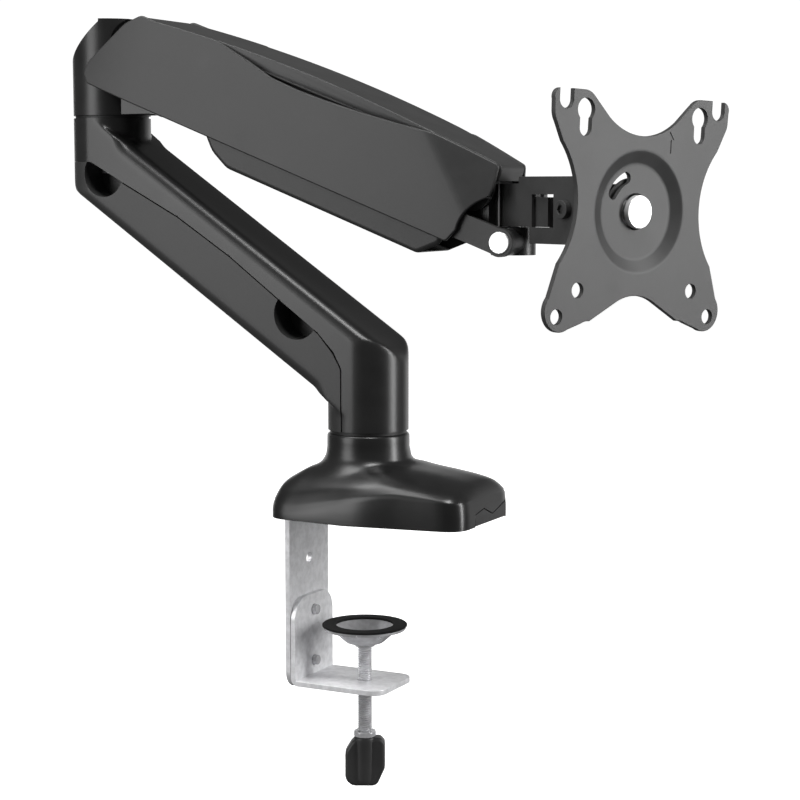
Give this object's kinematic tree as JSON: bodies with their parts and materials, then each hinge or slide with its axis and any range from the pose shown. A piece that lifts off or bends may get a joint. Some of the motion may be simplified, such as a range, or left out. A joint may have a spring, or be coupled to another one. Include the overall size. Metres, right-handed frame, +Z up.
{
  "type": "monitor arm",
  "caption": "Desk-clamped monitor arm with a swivelling lower arm, a gas-sprung parallelogram upper arm and a tilting, turning display plate.",
  "frame": {"origin": "on the post axis, at the desk surface, which is the underside of the base's rubber pad", "axes": "+Z up along the post, +X from the desk edge inward over the desk; at rest both arms lie over the X-Z plane, the lower arm reaching to -X and the upper arm coming back to +X"},
  "size_m": [0.3788, 0.1317, 0.4196],
  "materials": {
    "arm_casting": "satin black paint over a fine cast texture",
    "base_black": "satin black moulded shell",
    "cover_black": "satin black moulded plastic",
    "bracket_black": "black powder coat",
    "plate_grey": "dark grey powder coat",
    "galvanised": "galvanised steel with faint spangle",
    "zinc_screw": "bright zinc plating",
    "polished_pin": "polished steel",
    "steel_inner": "machined steel",
    "rubber_black": "matte black rubber",
    "knob_black": "matte black moulded plastic",
    "nylon_black": "black nylon"
  },
  "bodies": {
    "root": {"desk_pad": "rubber_black", "base_plate": "galvanised", "base_cover": "base_black", "base_cable_clip": "base_black", "post": "steel_inner", "post_screws": "zinc_screw", "post_washer": "zinc_screw", "post_bolt": "zinc_screw", "clamp_back_plate": "galvanised", "back_plate_screws": "zinc_screw", "clamp_jaw": "galvanised", "jaw_screws": "zinc_screw"},
    "pad": {"clamp_pad": "zinc_screw", "clamp_pad_ring": "rubber_black"},
    "screw": {"clamp_screw": "zinc_screw", "screw_collar": "zinc_screw", "clamp_knob": "knob_black"},
    "lower_arm": {"lower_arm_shell": "arm_casting", "lower_cable_cover": "cover_black", "base_thrust_ring": "nylon_black", "base_bush_lower": "nylon_black", "base_bush_upper": "nylon_black", "elbow_socket_bush": "nylon_black"},
    "elbow": {"elbow_spindle": "steel_inner", "elbow_washer": "zinc_screw", "elbow_bolt": "zinc_screw", "elbow_thrust_ring": "nylon_black", "elbow_yoke": "arm_casting", "lift_pin": "steel_inner", "rear_link_pin": "steel_inner", "spring_rear_pin": "steel_inner"},
    "upper_arm": {"arm_channel": "bracket_black", "near_side_cover": "cover_black", "far_side_cover": "cover_black", "top_cover": "cover_black", "belly_cover": "cover_black", "cover_screws": "zinc_screw", "gas_cylinder": "bracket_black", "spring_front_pin": "steel_inner", "head_pivot_pin": "steel_inner"},
    "gas_rod": {"gas_rod": "zinc_screw"},
    "lower_link": {"lower_link": "bracket_black"},
    "head": {"head_block": "arm_casting", "swivel_pin": "steel_inner", "front_link_pin": "polished_pin"},
    "bracket": {"swivel_bracket": "bracket_black", "tilt_bolt": "bracket_black", "tilt_nut": "bracket_black"},
    "tilt": {"tilt_knuckle": "bracket_black", "tilt_washers": "nylon_black", "hub_rivet": "polished_pin"},
    "plate": {"vesa_plate": "plate_grey", "hub_washer": "nylon_black"}
  },
  "joints": [
    {"name": "base_swivel", "type": "hinge", "parent": "root", "child": "lower_arm", "pos_m": [0, 0, 0.047], "axis": [0, 0, 1], "range_deg": [-180, 180]},
    {"name": "elbow_swivel", "type": "hinge", "parent": "lower_arm", "child": "elbow", "pos_m": [-0.164, 0, 0.215], "axis": [0, 0, 1], "range_deg": [-180, 180]},
    {"name": "arm_lift", "type": "hinge", "parent": "elbow", "child": "upper_arm", "pos_m": [-0.1329, 0, 0.2542], "axis": [0, -1, 0], "range_deg": [0, 50]},
    {"name": "link_turn", "type": "hinge", "parent": "elbow", "child": "lower_link", "pos_m": [-0.1139, 0, 0.2254], "axis": [0, -1, 0], "range_deg": [-1, 51]},
    {"name": "head_level", "type": "hinge", "parent": "upper_arm", "child": "head", "pos_m": [0.06795, 0, 0.1775], "axis": [0, -1, 0], "range_deg": [-51, 1]},
    {"name": "spring_stroke", "type": "slide", "parent": "upper_arm", "child": "gas_rod", "axis": [0.9342, 0, -0.3567], "range_m": [-0.0245, 0.001]},
    {"name": "head_swivel", "type": "hinge", "parent": "head", "child": "bracket", "pos_m": [0.0855, 0, 0.165], "axis": [0, 0, 1], "range_deg": [-19, 88]},
    {"name": "head_tilt", "type": "hinge", "parent": "bracket", "child": "tilt", "pos_m": [0.12729, -0.01993, 0.1656], "axis": [-0.4305, -0.9026, 0], "range_deg": [-50, 80]},
    {"name": "plate_turn", "type": "hinge", "parent": "tilt", "child": "plate", "pos_m": [0.16673, -0.03874, 0.16484], "axis": [0.9024, -0.4304, -0.0175], "continuous": true},
    {"name": "clamp_travel", "type": "slide", "parent": "root", "child": "pad", "axis": [0, 0, 1], "range_m": [-0.016, 0.022]},
    {"name": "screw_turn", "type": "hinge", "parent": "pad", "child": "screw", "pos_m": [-0.0025, 0, -0.1], "axis": [0, 0, 1], "range_deg": [-4620, 6350]}
  ],
  "couplings": [
    {"joint": "link_turn", "follows": "arm_lift", "ratio": 1},
    {"joint": "head_level", "follows": "arm_lift", "ratio": -1},
    {"joint": "spring_stroke", "follows": "arm_lift", "m_per_rad": -0.0269},
    {"joint": "screw_turn", "follows": "clamp_travel", "rad_per_m": 5026.5}
  ]
}
